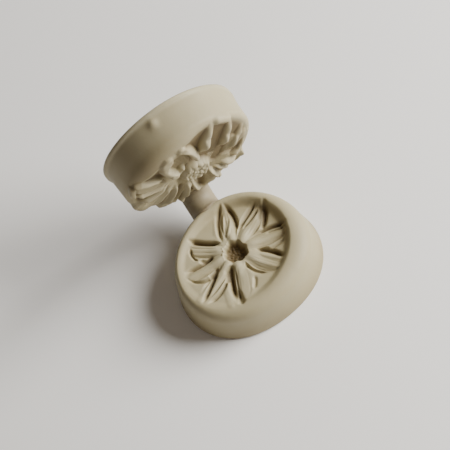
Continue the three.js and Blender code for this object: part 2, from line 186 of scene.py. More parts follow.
@dataclass(frozen=True)
class Stroke:
    """A drawn line of the impression: a groove where it is deep, a fold where it is raised."""

    start: Point
    middle: Point
    end: Point
    width: float
    depth: float
    start_taper: float = 0.25
    end_taper: float = 0.25

    STEPS = 22
    BLUNT = 0.02
    THINNED = 0.45

    def section(self, share: Array) -> Array:
        """Height over the stroke's section, at shares of its half width."""
        return np.exp(-(share**2))

    def amount(self, x: Array, y: Array) -> Array:
        """Works out what the stroke adds to the depth, with tapered ends.

        Args:
            x: Distances towards the link.
            y: Distances to the left of that.

        Returns:
            The depth at each point.
        """
        share = np.linspace(0.0, 1.0, self.STEPS)
        line = (
            np.outer((1 - share) ** 2, self.start)
            + np.outer(2 * share * (1 - share), self.middle)
            + np.outer(share**2, self.end)
        )
        best = np.full(x.shape, np.inf)
        where = np.zeros(x.shape)
        for step, (first, last) in enumerate(zip(line, line[1:])):
            run = last - first
            local = ((x - first[0]) * run[0] + (y - first[1]) * run[1]) / (run @ run)
            local = np.clip(local, 0.0, 1.0)
            away = np.hypot(x - first[0] - local * run[0], y - first[1] - local * run[1])
            nearer = away < best
            best = np.where(nearer, away, best)
            where = np.where(nearer, (step + local) / (self.STEPS - 1), where)
        taper = smooth(0.0, self.start_taper + self.BLUNT, where + self.BLUNT)
        taper = taper * smooth(0.0, self.end_taper + self.BLUNT, 1 + self.BLUNT - where)
        width = self.width * (1 - self.THINNED + self.THINNED * taper)
        return self.depth * taper * self.section(best / width)


@dataclass(frozen=True)
class Bead(Stroke):
    """A drawn line of the relief that is round in section, as a rolled petal edge is."""

    ROUNDING = 0.95

    def section(self, share: Array) -> Array:
        """Height over the bead's section, at shares of its half width."""
        return np.clip(1.0 - share**2, 0.0, 1.0) ** self.ROUNDING


@dataclass(frozen=True)
class Flower:
    """The flower of the impression: petals, drawn lines, round petal roots and the grained pit.

    Points are given by their distances from the flower axis.
    """

    petals: tuple[Petal, ...]
    strokes: tuple[Stroke, ...]
    floor: float = 0.78
    edge_width: float = 0.5
    crown: float = 0.82
    vein_pitch: float = 0.62
    vein_depth: float = 0.035
    root_radius: float = 3.5
    root_rise: float = 0.4
    pit_radius: float = 2.0
    pit_depth: float = 1.8
    heart: Point = (0.3, 0.6)
    grains: int = 30
    grain_reach: float = 2.1
    grain_size: float = 0.34
    grain_tall: float = 0.2

    EASE = 12.0
    PROUD = 0.08
    SHARED = 0.3
    CROSSING = 0.8
    PETAL_ROOT = (0.6, 3.2)
    PETAL_EDGE = -0.1
    FAN_ROOT = 0.45
    VEIN_EDGE = (0.15, 0.7)
    VEIN_ROOT = (3.2, 5.2)
    VEIN_DRIFT = 0.25
    VEIN_BREAK = 0.4
    BREAK_ALONG = 1.7
    BREAK_ACROSS = 2.3
    ROOT_LENGTH = 1.7
    ROOT_WIDTH = 0.9
    RING_RISE = 0.2
    RING_WIDTH = 1.2
    PIT_EDGE = 0.55
    PIT_WAVES = ((3, 0.14, 0.6), (8, 0.1, 0.0))
    GOLDEN = math.pi * (3 - math.sqrt(5))
    GRAIN_FADE = (-0.4, 0.3)

    def petal_depth(self, petal: Petal, x: Array, y: Array) -> Array:
        """Works out how deep the floor of one petal lies, with its ribs and veins.

        Args:
            petal: The petal.
            x: Distances towards the link.
            y: Distances to the left of that.

        Returns:
            The depth at each point.
        """
        along, across, half, inside = petal.place(x, y)
        inner = smooth(self.PETAL_EDGE, self.edge_width, inside)
        crowned = 1 - self.crown * np.clip(1 - (across / half) ** 2, 0, 1)
        depth = petal.deep * self.floor * inner * crowned
        for offset in petal.ribs:
            away = across - offset * half / petal.half
            depth = depth - petal.rib_rise * inner * ridge(away, petal.rib_width)
        return petal.growth(along, *self.PETAL_ROOT) * depth + self.vein_amount(petal, x, y)

    def vein_amount(self, petal: Petal, x: Array, y: Array) -> Array:
        """Works out the depth of the fine veins that fan out along one petal.

        Args:
            petal: The petal.
            x: Distances towards the link.
            y: Distances to the left of that.

        Returns:
            The depth at each point.
        """
        along, across, half, inside = petal.place(x, y)
        fan = across / (self.FAN_ROOT + (1 - self.FAN_ROOT) * half / petal.half)
        veins = np.cos(fan * 2 * math.pi / self.vein_pitch + self.VEIN_DRIFT * along + petal.angle)
        breaks = np.cos(self.BREAK_ALONG * along + self.BREAK_ACROSS * fan)
        veins = veins * (1 - self.VEIN_BREAK + self.VEIN_BREAK * breaks)
        veins = self.vein_depth * veins * smooth(*self.VEIN_EDGE, inside)
        return veins * smooth(*self.VEIN_ROOT, along)

    def drawn(self, x: Array, y: Array) -> Pair:
        """Works out the drawn grooves and folds.

        Args:
            x: Distances towards the link.
            y: Distances to the left of that.

        Returns:
            Depth of the grooves and height of the folds at each point.
        """
        grooves = np.zeros(x.shape)
        folds = np.zeros(x.shape)
        for stroke in self.strokes:
            amount = stroke.amount(x, y)
            if stroke.depth > 0:
                total = grooves + amount
                grooves = np.maximum(np.maximum(grooves, amount), self.CROSSING * total)
            else:
                folds = np.maximum(folds, -amount)
        return grooves, folds

    def pit(self, x: Array, y: Array) -> Array:
        """Works out the depth of the pit, with its grains and the petal roots about it.

        Args:
            x: Distances towards the link.
            y: Distances to the left of that.

        Returns:
            The depth at each point.
        """
        turn = np.arctan2(y, x)
        wavy = self.pit_radius
        for count, size, start in self.PIT_WAVES:
            wavy = wavy + size * np.cos(count * turn + start)
        inside = 1 - smooth(-self.PIT_EDGE, self.PIT_EDGE, np.hypot(x, y) - wavy)
        return self.pit_depth * inside - self.roots(x, y) - self.grain(x, y)

    def roots(self, x: Array, y: Array) -> Array:
        """Works out the height of the round petal roots about the pit.

        Args:
            x: Distances towards the link.
            y: Distances to the left of that.

        Returns:
            The height at each point.
        """
        roots = [self.RING_RISE * ridge(np.hypot(x, y) - self.root_radius, self.RING_WIDTH)]
        for petal in self.petals:
            along, across, _, _ = petal.place(x, y)
            root = ridge(along - self.root_radius, self.ROOT_LENGTH)
            roots.append(root * ridge(across, self.ROOT_WIDTH))
        return self.root_rise * np.max(roots, axis=0)

    def pressed(self, x: Array, y: Array) -> Array:
        """Works out the depth of the whole impression under the floor of the dish.

        Args:
            x: Distances towards the link.
            y: Distances to the left of that.

        Returns:
            The depth at each point.
        """
        petals = np.max([self.petal_depth(petal, x, y) for petal in self.petals], axis=0)
        grooves, folds = self.drawn(x, y)
        body = np.maximum(petals, grooves) + self.SHARED * np.minimum(petals, grooves) - folds
        body = np.logaddexp(self.EASE * (body + self.PROUD), 0) / self.EASE - self.PROUD
        return body + self.pit(x, y)

    def grain(self, x: Array, y: Array) -> Array:
        """Works out the small round grains in the middle of the flower.

        The sines scatter their directions, sizes and heights in a fixed way.

        Args:
            x: Distances towards the link.
            y: Distances to the left of that.

        Returns:
            The height at each point.
        """
        x = x - self.heart[0]
        y = y - self.heart[1]
        height = np.zeros(x.shape)
        for index in range(self.grains):
            out = self.grain_reach * math.sqrt((index + 0.5) / self.grains)
            turn = index * self.GOLDEN + 0.35 * math.sin(3.7 * index)
            size = self.grain_size * (1 + 0.3 * math.sin(5.1 * index))
            away = np.hypot(x - out * math.cos(turn), y - out * math.sin(turn))
            tall = self.grain_tall * (1 + math.sin(2.9 * index) / 3)
            height = np.maximum(height, tall * np.clip(1 - (away / size) ** 2, 0, 1))
        low, high = (self.grain_reach + step for step in self.GRAIN_FADE)
        return height * (1 - smooth(low, high, np.hypot(x, y)))


PRESSED_FLOWER = Flower(
    petals=(
        Petal(-17, 10.3, 1.7, 5.4, deep=1.2),
        Petal(-58, 11.4, 2.1, 5.0, deep=0.9),
        Petal(-97, 11.3, 2.0, 4.6, ribs=(-0.4,)),
        Petal(-141, 9.8, 2.6, 3.4, ribs=(-0.9, 0.9), rib_rise=0.25),
        Petal(157, 10.4, 2.1, 2.9, deep=0.9),
        Petal(117, 11.6, 1.5, 4.4, ribs=(-0.2, 0.6), bend=-0.3),
        Petal(86.5, 11.0, 1.6, 3.4, ribs=(0.1,), rib_rise=0.12),
        Petal(51, 9.3, 1.9, 2.6, ribs=(-0.7, 0.2, 1.0), rib_rise=0.22, rib_width=0.3),
    ),
    strokes=(
        Stroke((10.1, -3.1), (8.5, 0.0), (3.0, 1.1), 0.41, 0.97),
        Stroke((10.0, -3.2), (6.6, -4.5), (3.5, -2.4), 0.41, 0.97),
        Stroke((8.3, -2.4), (6.0, -0.6), (3.7, 0.1), 0.24, -0.35),
        Stroke((7.1, -3.0), (4.9, -2.1), (3.2, 0.2), 0.26, -0.3),
        Stroke((9.4, -2.0), (7.3, 0.7), (4.4, 1.4), 0.4, -0.25),
        Stroke((6.6, -8.6), (5.3, -6.4), (3.7, -2.6), 0.24, 0.87),
        Stroke((5.5, -8.6), (4.2, -6.7), (3.2, -3.2), 0.24, 0.78),
        Stroke((6.0, -10.3), (3.5, -9.3), (0.6, -6.3), 0.51, 1.01),
        Stroke((5.6, -9.2), (4.7, -8.8), (2.5, -6.9), 0.61, 0.46),
        Stroke((0.7, -5.3), (1.0, -7.7), (-0.9, -11.7), 0.37, 0.87),
        Stroke((-0.2, -6.5), (-0.2, -8.4), (-1.6, -11.0), 0.22, 0.46),
        Stroke((-3.4, -5.3), (-3.9, -7.2), (-3.0, -9.5), 0.37, 0.41),
        Stroke((-1.6, -3.2), (-3.3, -5.7), (-6.6, -7.3), 0.44, 1.01),
        Stroke((-3.1, -3.5), (-4.6, -4.9), (-6.8, -6.5), 0.28, -0.3),
        Stroke((-2.8, -0.4), (-5.1, 0.4), (-7.7, -3.2), 0.41, 0.87),
        Stroke((-6.4, -0.3), (-8.0, 0.2), (-8.9, 1.4), 0.42, 0.4),
        Stroke((-3.2, 0.8), (-6.7, 0.3), (-9.9, 3.9), 1.0, -0.7),
        Stroke((-3.3, 2.0), (-6.3, 3.4), (-9.6, 4.6), 0.2, 0.51),
        Stroke((-2.0, 2.2), (-4.8, 4.0), (-9.6, 5.4), 0.52, 1.2, 0.1, 0.35),
        Stroke((-6.6, 3.6), (-8.7, 4.4), (-10.6, 4.7), 0.6, 0.75, 0.4, 0.2),
        Stroke((-5.4, 5.3), (-7.7, 6.5), (-10.4, 6.7), 0.45, -0.35),
        Stroke((-1.4, 4.9), (-2.8, 6.8), (-5.8, 10.9), 0.37, 1.06),
        Stroke((-3.7, 4.2), (-6.4, 6.2), (-6.4, 10.3), 0.37, 0.64),
        Stroke((-2.7, 7.6), (-4.3, 10.3), (-5.5, 11.9), 0.4, -0.3),
        Stroke((-2.0, 2.8), (-3.6, 4.0), (-5.0, 4.6), 0.49, 0.83),
        Stroke((1.8, 3.8), (1.1, 6.3), (1.9, 10.6), 0.39, 0.92),
        Stroke((-1.6, 6.2), (-3.0, 8.8), (0.8, 10.8), 0.32, 0.69),
        Stroke((-0.8, 4.3), (-1.6, 5.9), (-2.1, 7.0), 0.49, 0.83),
        Stroke((7.6, 6.3), (5.3, 4.7), (3.1, 1.2), 0.44, 1.2),
        Stroke((5.9, 6.7), (4.3, 7.9), (2.5, 6.9), 0.27, 0.64),
        Stroke((2.5, 6.9), (1.4, 5.7), (1.7, 3.8), 0.43, 0.74),
    ),
)

RAISED_FLOWER = Flower(
    petals=(
        Petal(-17, 13.2, 2.3, 5.4, deep=0.6),
        Petal(-56, 13.4, 2.6, 5.0, deep=0.5),
        Petal(-95, 13.2, 2.5, 4.6, deep=0.45),
        Petal(-137, 12.2, 2.7, 3.4, deep=-0.5),
        Petal(164, 11.6, 2.6, 2.9, deep=0.35),
        Petal(117, 12.4, 2.3, 3.4, deep=0.8),
        Petal(76, 13.0, 2.3, 3.4, deep=0.9),
        Petal(34, 12.6, 2.3, 2.6, deep=0.7),
    ),
    strokes=(
        Bead((-12.0, 1.2), (-10.4, -1.2), (-4.6, -2.0), 1.0, 1.75, 0.15, 0.0),
        Bead((-11.1, 2.2), (-9.6, 6.3), (-3.7, 3.2), 1.2, 1.8, 0.15, 0.0),
        Bead((-4.2, 3.3), (-2.6, 2.4), (-4.0, 1.2), 0.85, 1.6, 0.0, 0.0),
        Bead((-12.6, -7.2), (-9.8, -5.0), (-3.2, -3.1), 1.25, 1.9, 0.5, 0.35),
        Bead((-12.4, -7.0), (-11.6, -8.8), (-9.4, -10.4), 1.2, 0.5, 0.3, 0.2),
        Bead((-10.2, -10.1), (-4.8, -9.9), (-1.2, -6.6), 1.05, 1.45, 0.4, 0.4),
        Bead((-5.2, -12.6), (0.8, -10.4), (1.2, -7.1), 0.95, 1.15, 0.3, 0.5),
        Bead((1.2, -12.4), (5.6, -11.0), (4.0, -7.9), 0.7, 1.25, 0.4, 0.4),
        Bead((6.3, -11.4), (6.2, -9.2), (4.2, -5.6), 0.85, 1.6, 0.2, 0.3),
        Bead((9.2, -9.0), (6.9, -6.9), (4.3, -4.6), 0.55, 1.25, 0.4, 0.3),
        Bead((12.2, -6.0), (6.2, -4.2), (3.2, -3.6), 0.65, 1.6, 0.2, 0.2),
        Bead((12.4, -3.8), (11.8, 0.3), (3.4, 0.3), 0.7, 1.5, 0.2, 0.2),
        Bead((12.0, -6.0), (12.7, -5.0), (12.4, -3.6), 0.6, 1.2, 0.1, 0.1),
        Bead((11.0, 4.2), (9.6, 1.2), (3.0, 1.0), 0.8, 1.6, 0.2, 0.2),
        Bead((7.8, 7.6), (6.0, 4.0), (1.2, 3.2), 0.7, 1.4, 0.3, 0.2),
        Bead((4.9, 10.2), (3.2, 6.2), (0.3, 3.8), 0.65, 1.25, 0.4, 0.3),
        Bead((0.2, 11.8), (0.8, 7.6), (-1.2, 4.1), 0.65, 1.35, 0.3, 0.3),
        Bead((-3.0, 11.6), (-1.0, 8.2), (-1.5, 4.3), 0.6, 1.3, 0.2, 0.3),
        Bead((-6.6, 10.9), (-7.6, 8.5), (-2.5, 4.5), 0.6, 1.25, 0.1, 0.3),
        Bead((-6.6, 10.9), (-5.2, 11.7), (-3.0, 11.5), 0.55, 1.1, 0.1, 0.1),
        Stroke((-10.2, 5.3), (-5.6, 6.1), (-1.8, 5.2), 0.6, -1.2, 0.1, 0.3),
        Stroke((-10.2, -4.6), (-7.6, -3.4), (-4.6, -2.6), 0.6, -1.2, 0.3, 0.1),
        Stroke((-9.4, -7.8), (-5.2, -7.0), (-1.2, -5.0), 1.1, -2.1, 0.3, 0.1),
        Stroke((-4.6, -8.2), (-0.6, -7.4), (2.6, -4.8), 0.9, -1.2, 0.3, 0.2),
        Stroke((2.4, -12.0), (5.5, -11.2), (3.4, -8.2), 0.6, -1.2),
        Stroke((-7.2, -11.6), (-4.8, -11.2), (-2.4, -10.6), 0.8, -0.9, 0.1, 0.3),
        Stroke((-1.4, 11.0), (-0.6, 7.6), (-1.6, 5.0), 0.45, -0.9),
        Stroke((2.6, 10.6), (2.2, 7.2), (-0.2, 4.6), 0.45, -0.6),
        Stroke((9.4, 6.2), (7.4, 3.2), (2.6, 2.2), 0.6, -0.9),
        Stroke((10.6, -1.2), (8.0, -1.9), (4.6, -1.6), 0.7, -0.7),
    ),
    vein_depth=0.025,
    heart=(0.5, -1.2),
    grains=34,
    grain_reach=2.8,
    grain_size=0.6,
    grain_tall=0.3,
)


class Value:
    """A shader socket that Python's operators join to others with Math nodes."""

    def __init__(self, shader: Shader, socket: bpy.types.NodeSocket) -> None:
        """Wraps a socket of a shader's node tree."""
        self.shader = shader
        self.socket = socket

    def math(self, operation: str, *others: Value | float) -> Value:
        """Adds one Math node whose first input is this value.

        Args:
            operation: Name of the Math node's operation.
            others: The node's further inputs.

        Returns:
            The node's result.
        """
        inputs = {index: value for index, value in enumerate((self, *others))}
        return self.shader.node("ShaderNodeMath", {"operation": operation}, inputs)

    def __add__(self, other: Value | float) -> Value:
        """Sum."""
        return self.math("ADD", other)

    __radd__ = __add__

    def __mul__(self, other: Value | float) -> Value:
        """Product."""
        return self.math("MULTIPLY", other)

    __rmul__ = __mul__

    def __sub__(self, other: Value | float) -> Value:
        """Difference."""
        return self.math("SUBTRACT", other)

    def __rsub__(self, other: float) -> Value:
        """Difference from a number."""
        return (self * -1.0).math("ADD", other)

    def clamped(self) -> Value:
        """The value held between 0 and 1."""
        return self.math("MAXIMUM", 0.0).math("MINIMUM", 1.0)


class Shader:
    """Builds one material's node tree."""

    def __init__(self, name: str) -> None:
        """Starts a material with an empty node tree.

        Args:
            name: Name of the material.
        """
        self.material = bpy.data.materials.new(name)
        self.material.use_nodes = True
        self.tree = self.material.node_tree
        self.tree.nodes.clear()

    def node(
        self,
        kind: str,
        settings: dict[str, object],
        inputs: dict[str | int, object],
        out: int | str = 0,
    ) -> Value | None:
        """Adds one node, sets it, and joins or fills its sockets.

        Args:
            kind: The node's type.
            settings: Values of the node itself; stops holds a ramp's places and colours.
            inputs: Value, colour or number for each named or numbered input socket.
            out: Name or number of the output that is handed back.

        Returns:
            The chosen output, if the node has any.
        """
        made = self.tree.nodes.new(kind)
        for key, value in settings.items():
            if key == "stops":
                self.set_stops(made, value)
            else:
                setattr(made, key, value)
        for key, value in inputs.items():
            socket = made.inputs[key]
            if isinstance(value, Value):
                self.tree.links.new(value.socket, socket)
            else:
                socket.default_value = value
        return Value(self, made.outputs[out]) if len(made.outputs) else None

    @staticmethod
    def set_stops(ramp: bpy.types.ShaderNode, stops: Sequence[tuple[float, Color]]) -> None:
        """Gives a colour ramp its stops.

        Args:
            ramp: The ramp's node.
            stops: Place and colour of each stop.
        """
        elements = ramp.color_ramp.elements
        while len(elements) < len(stops):
            elements.new(1.0)
        for element, (position, color) in zip(elements, stops):
            element.position = position
            element.color = (*color, 1.0)


@dataclass(frozen=True)
class Silicone:
    """Matte cream beige cast silicone with painted shade in its hollows, a painted highlight on its
    crests, faint clouding and a fine skin.
    """

    name: str
    body: Color
    # Painted shade colour of the hollows, then painted highlight colour of the crests.
    hollow_shade: Color
    crest_highlight: Color
    roughness: float = 0.52
    subsurface: float = 0.12
    body_stop: float = 0.42
    clouding: float = 0.22
    dimple_rough: float = 0.14
    hollow_rough: float = 0.1

    # waves per metre, detail and roughness of each noise
    CLOUD = (210.0, 3.0, 0.55)
    SKIN = (3200.0, 4.0, 0.6)
    DIMPLE = (620.0, 2.0, 0.5)

    @staticmethod
    def noise(place: Value, scale: float, detail: float, rough: float) -> Value:
        """Noise over the object, with its scale in waves per metre."""
        inputs = {"Vector": place, "Scale": scale, "Detail": detail, "Roughness": rough}
        return place.shader.node("ShaderNodeTexNoise", {}, inputs)

    def build(self) -> bpy.types.Material:
        """Makes the material.

        Returns:
            The material.
        """
        shader = Shader(self.name)
        place = shader.node("ShaderNodeTexCoord", {}, {}, "Object")
        cloud = self.noise(place, *self.CLOUD)
        skin = self.noise(place, *self.SKIN)
        dimple = self.noise(place, *self.DIMPLE)
        painted_shading = shader.node("ShaderNodeAttribute", {"attribute_name": SHADING_ATTRIBUTE}, {}, "Fac")
        shade = (painted_shading + (cloud - 0.5) * self.clouding).clamped()
        # The ramp paints the highlight colour on crests and lips, the body colour on plain parts
        # and the shade colour in hollows.
        stops = [(0.0, self.crest_highlight), (self.body_stop, self.body), (1.0, self.hollow_shade)]
        coarse = shader.node(
            "ShaderNodeBump", {}, {"Strength": 0.22, "Distance": 0.00018, "Height": dimple}
        )
        fine = shader.node(
            "ShaderNodeBump",
            {},
            {"Strength": 0.25, "Distance": 0.00004, "Height": skin, "Normal": coarse},
        )
        surface = shader.node(
            "ShaderNodeBsdfPrincipled",
            {},
            {
                "Base Color": shader.node("ShaderNodeValToRGB", {"stops": stops}, {"Fac": shade}),
                "Roughness": self.roughness
                + (dimple - 0.5) * self.dimple_rough
                + painted_shading * self.hollow_rough,
                "Normal": fine,
                "Subsurface Weight": self.subsurface,
                "Subsurface Radius": (1.0, 0.75, 0.5),
                "Subsurface Scale": 0.0008,
                "IOR": 1.41,
            },
        )
        shader.node("ShaderNodeOutputMaterial", {}, {"Surface": surface})
        return shader.material


@dataclass(frozen=True)
class Backdrop:
    """Plain pale matte floor."""

    name: str = "pale_floor"
    color: Color = (0.93, 0.92, 0.905)
    roughness: float = 0.85

    def build(self) -> bpy.types.Material:
        """Makes the material.

        Returns:
            The material.
        """
        shader = Shader(self.name)
        inputs = {"Base Color": (*self.color, 1.0), "Roughness": self.roughness}
        surface = shader.node("ShaderNodeBsdfPrincipled", {}, inputs)
        shader.node("ShaderNodeOutputMaterial", {}, {"Surface": surface})
        return shader.material


def shown(name: str, shape: bmesh.types.BMesh, material: bpy.types.Material) -> bpy.types.Object:
    """Turns a shaped bmesh into a smooth shaded object at the origin.

    Args:
        name: Name of the piece.
        shape: The bmesh, in metres; it is freed.
        material: The piece's finish.

    Returns:
        The object.
    """
    mesh = bpy.data.meshes.new(name)
    for face in shape.faces:
        face.smooth = True
    shape.to_mesh(mesh)
    shape.free()
    mesh.materials.append(material)
    made = bpy.data.objects.new(name, mesh)
    bpy.context.scene.collection.objects.link(made)
    return made


def turned_puck(segments: int, back_cuts: int, wall_cuts: int, face_cuts: int) -> bmesh.types.BMesh:
    """Spins a plain puck of radius 1 and height 1, with rings on its back, wall and face.

    Args:
        segments: Steps round the puck.
        back_cuts: Rings added on the back.
        wall_cuts: Rings added on the wall.
        face_cuts: Rings added on the face.

    Returns:
        A closed bmesh.
    """
    puck = bmesh.new()
    corners = [puck.verts.new(place) for place in ((0, 0, 0), (1, 0, 0), (1, 0, 1), (0, 0, 1))]
    for pair in zip(corners, corners[1:]):
        puck.edges.new(pair)
    bmesh.ops.spin(
        puck,
        geom=[*puck.verts, *puck.edges],
        cent=(0, 0, 0),
        axis=(0, 0, 1),
        angle=2 * math.pi,
        steps=segments,
        use_merge=False,
    )
    bmesh.ops.remove_doubles(puck, verts=puck.verts, dist=1e-6)
    for level, cuts in ((0.0, back_cuts), (0.5, wall_cuts), (1.0, face_cuts)):
        across = [edge for edge in puck.edges if crosses(edge, level)]
        bmesh.ops.subdivide_edges(puck, edges=across, cuts=cuts, use_grid_fill=True)
    bmesh.ops.recalc_face_normals(puck, faces=puck.faces)
    return puck


def crosses(edge: bmesh.types.BMEdge, level: float) -> bool:
    """Tells whether an edge of the plain puck runs along its section.

    Args:
        edge: An edge of the puck.
        level: Height at which the edge's middle has to lie.

    Returns:
        Whether it does.
    """
    first, last = (vert.co for vert in edge.verts)
    across = abs(math.hypot(first.x, first.y) - math.hypot(last.x, last.y)) + abs(first.z - last.z)
    return across > 0.5 and abs((first.z + last.z) / 2 - level) < FLAT_SHARE


def plain_places(mesh: bpy.types.Mesh) -> Array:
    """Reads where a mesh's points lie.

    Args:
        mesh: The mesh.

    Returns:
        One row for each point.
    """
    place = np.empty(len(mesh.vertices) * 3)
    mesh.vertices.foreach_get("co", place)
    return place.reshape(-1, 3)


def move(mesh: bpy.types.Mesh, place: Array, painted_shading: Array) -> None:
    """Moves a mesh's points and shades them.

    Args:
        mesh: The mesh.
        place: One row for each point, in millimetres.
        painted_shading: How much shade or highlight is painted on the mesh at each point.
    """
    mesh.vertices.foreach_set("co", (place * MM).ravel())
    attribute = mesh.attributes.new(SHADING_ATTRIBUTE, "FLOAT", "POINT")
    attribute.data.foreach_set("value", painted_shading.astype(np.float32))


@dataclass
class CastHalf:
    """What both halves share: a turned body whose zones are moved to their real places."""

    name: str
    node: str
    body: str
    slot: str
    side: Half
    flower: Flower
    finish: Silicone
    segments: int = 480
    back_cuts: int = 6
    wall_cuts: int = 36
    face_cuts: int = 118

    def on_back(self, angle: Array, share: Array) -> Pair:
        """Radius and height of points of the back."""
        radius, height = self.on_wall(angle, np.zeros(angle.shape))
        return share * radius, height

    def on_wall(self, angle: Array, share: Array) -> Pair:
        """Radius and height of points of the wall, from the back at 0 to the face at 1."""
        raise NotImplementedError

    def on_face(self, angle: Array, share: Array) -> Pair:
        """Radius and height of points of the face."""
        radius = share * self.face_edge(angle)
        return radius, self.face_height(angle, radius)

    def face_edge(self, angle: Array) -> Array:
        """Radius at which the face meets the wall."""
        raise NotImplementedError

    def face_height(self, angle: Array, radius: Array) -> Array:
        """Height of the face over the back."""
        raise NotImplementedError

    def painted_face_shading(self, angle: Array, radius: Array) -> Array:
        """Painted shade and highlight on the face at each point, as a share of the shade colour of
        the hollows.
        """
        raise NotImplementedError

    def wall_shade(self, angle: Array, level: Array) -> Array:
        """How much shade is painted on the wall at a height over the back, as a share of the shade
        colour.
        """
        raise NotImplementedError

    def build(self, placed: Matrix) -> None:
        """Makes the half and hands it to its body of the frame.

        Args:
            placed: Turns the half's own frame, in metres, into the object's frame.
        """
        puck = turned_puck(self.segments, self.back_cuts, self.wall_cuts, self.face_cuts)
        made = shown(self.name, puck, self.finish.build())
        mesh = made.data
        place = plain_places(mesh)
        ring = np.hypot(place[:, 0], place[:, 1])
        angle = np.arctan2(place[:, 1], place[:, 0])
        level = place[:, 2]
        back = level < FLAT_SHARE
        face = level > 1 - FLAT_SHARE
        wall = ~(back | face)
        radius = np.zeros(ring.shape)
        height = np.zeros(ring.shape)
        painted_shading = np.full(ring.shape, PLAIN_SHADE)
        radius[back], height[back] = self.on_back(angle[back], ring[back])
        radius[wall], height[wall] = self.on_wall(angle[wall], level[wall])
        radius[face], height[face] = self.on_face(angle[face], ring[face])
        # Paints shade into the hollows of the face and onto the wall.
        painted_shading[face] = self.painted_face_shading(angle[face], radius[face])
        painted_shading[wall] += self.wall_shade(angle[wall], height[wall])
        x, y = flat(angle, radius)
        move(mesh, np.stack((self.side.value * x, y, height), axis=1), painted_shading)
        mesh.transform(placed)
        if self.side is Half.RELIEF:
            mesh.flip_normals()
        mesh.update()
        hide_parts(self.node)
        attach(made, self.body)
        LOG.info("%s: %d faces on body %s", self.name, len(mesh.polygons), self.body)


